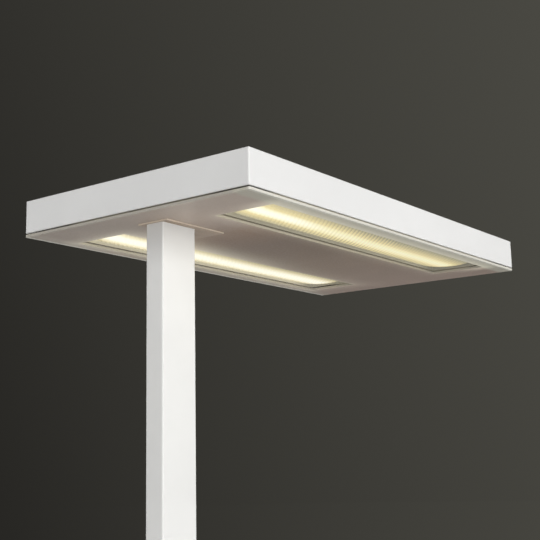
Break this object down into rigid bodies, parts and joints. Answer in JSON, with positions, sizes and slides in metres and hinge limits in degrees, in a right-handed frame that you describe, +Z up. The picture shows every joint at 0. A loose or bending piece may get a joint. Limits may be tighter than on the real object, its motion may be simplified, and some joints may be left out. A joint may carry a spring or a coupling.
{
  "type": "office floor lamp",
  "caption": "Free-standing office floor lamp: flat rectangular head with long lit windows on a rectangular post over a flat steel base.",
  "frame": {"origin": "on the floor, below the middle of the head", "axes": "+X along the head, away from the post; +Y across the head; +Z up"},
  "size_m": [0.67, 0.364, 1.95],
  "materials": {
    "white_aluminium": "white fine-textured powder coat on aluminium, satin",
    "white_steel": "white fine-textured powder coat on steel, satin",
    "white_sheet": "smooth white paint on sheet steel",
    "zinc_steel": "bright zinc plate",
    "black_steel": "black oxide",
    "black_plastic": "fine matt moulding texture",
    "white_plastic": "semi-gloss moulding",
    "button_plastic": "satin moulding",
    "white_lead": "smooth sheath",
    "clear_acrylic": "clear satin sheet with polished edges",
    "prismatic_acrylic": "clear sheet with a fine pyramid pattern, lit from above",
    "satin_acrylic": "satin translucent sheet",
    "reflector_aluminium": "semi-specular white reflector coat",
    "lamp_glass": "phosphor-coated glass, lit",
    "ballast_case": "plain mill finish",
    "rubber_pad": "matt rubber"
  },
  "bodies": {
    "stand": {"base_plate": "white_steel", "base_pad_1": "rubber_pad", "base_pad_2": "rubber_pad", "base_pad_3": "rubber_pad", "base_pad_4": "rubber_pad", "base_pad_5": "rubber_pad", "base_pad_6": "rubber_pad", "base_screws": "zinc_steel", "foot_collar": "white_aluminium", "post": "white_aluminium", "cable_gland": "black_plastic", "gland_nut": "black_plastic", "switch_bezel": "white_plastic", "bezel_screws": "zinc_steel", "switch_body": "black_plastic", "switch_lead": "white_lead", "head_bracket": "zinc_steel", "post_screws": "zinc_steel", "bracket_screws": "zinc_steel", "frame_front": "white_aluminium", "frame_back": "white_aluminium", "frame_post_end": "white_aluminium", "frame_far_end": "white_aluminium", "corner_key_1": "zinc_steel", "corner_key_2": "zinc_steel", "corner_key_3": "zinc_steel", "corner_key_4": "zinc_steel", "key_screws": "black_steel", "tray": "white_sheet", "tray_screws": "zinc_steel", "underside_plate": "clear_acrylic", "plate_studs": "zinc_steel", "stud_nuts": "black_steel", "mount_cover": "white_aluminium", "cover_screws": "zinc_steel", "diffuser_1": "prismatic_acrylic", "diffuser_2": "prismatic_acrylic", "reflector_1": "reflector_aluminium", "reflector_2": "reflector_aluminium", "reflector_screws": "zinc_steel", "lamp_1": "lamp_glass", "lamp_2": "lamp_glass", "lamp_holder_1": "white_plastic", "lamp_holder_2": "white_plastic", "lamp_clip_1": "white_plastic", "lamp_clip_2": "white_plastic", "ballast": "ballast_case", "control_unit": "black_plastic", "gear_screws": "zinc_steel", "terminal_block": "white_plastic", "top_panel": "white_sheet", "top_screws": "zinc_steel"},
    "power_button": {"power_button": "button_plastic"},
    "dimmer_button": {"dimmer_button": "button_plastic"},
    "top_cover_1": {"top_cover_1": "satin_acrylic"},
    "top_cover_2": {"top_cover_2": "satin_acrylic"}
  },
  "joints": [
    {"name": "power_button_press", "type": "slide", "parent": "stand", "child": "power_button", "axis": [0, 1, 0], "range_m": [0, 0.0015], "stiffness_N_per_m": 300, "springref_m": -0.003},
    {"name": "dimmer_button_press", "type": "slide", "parent": "stand", "child": "dimmer_button", "axis": [0, 1, 0], "range_m": [0, 0.0015], "stiffness_N_per_m": 300, "springref_m": -0.003},
    {"name": "top_cover_1_lift", "type": "slide", "parent": "stand", "child": "top_cover_1", "axis": [0, 0, 1], "range_m": [0, 0.06]},
    {"name": "top_cover_2_lift", "type": "slide", "parent": "stand", "child": "top_cover_2", "axis": [0, 0, 1], "range_m": [0, 0.06]}
  ]
}
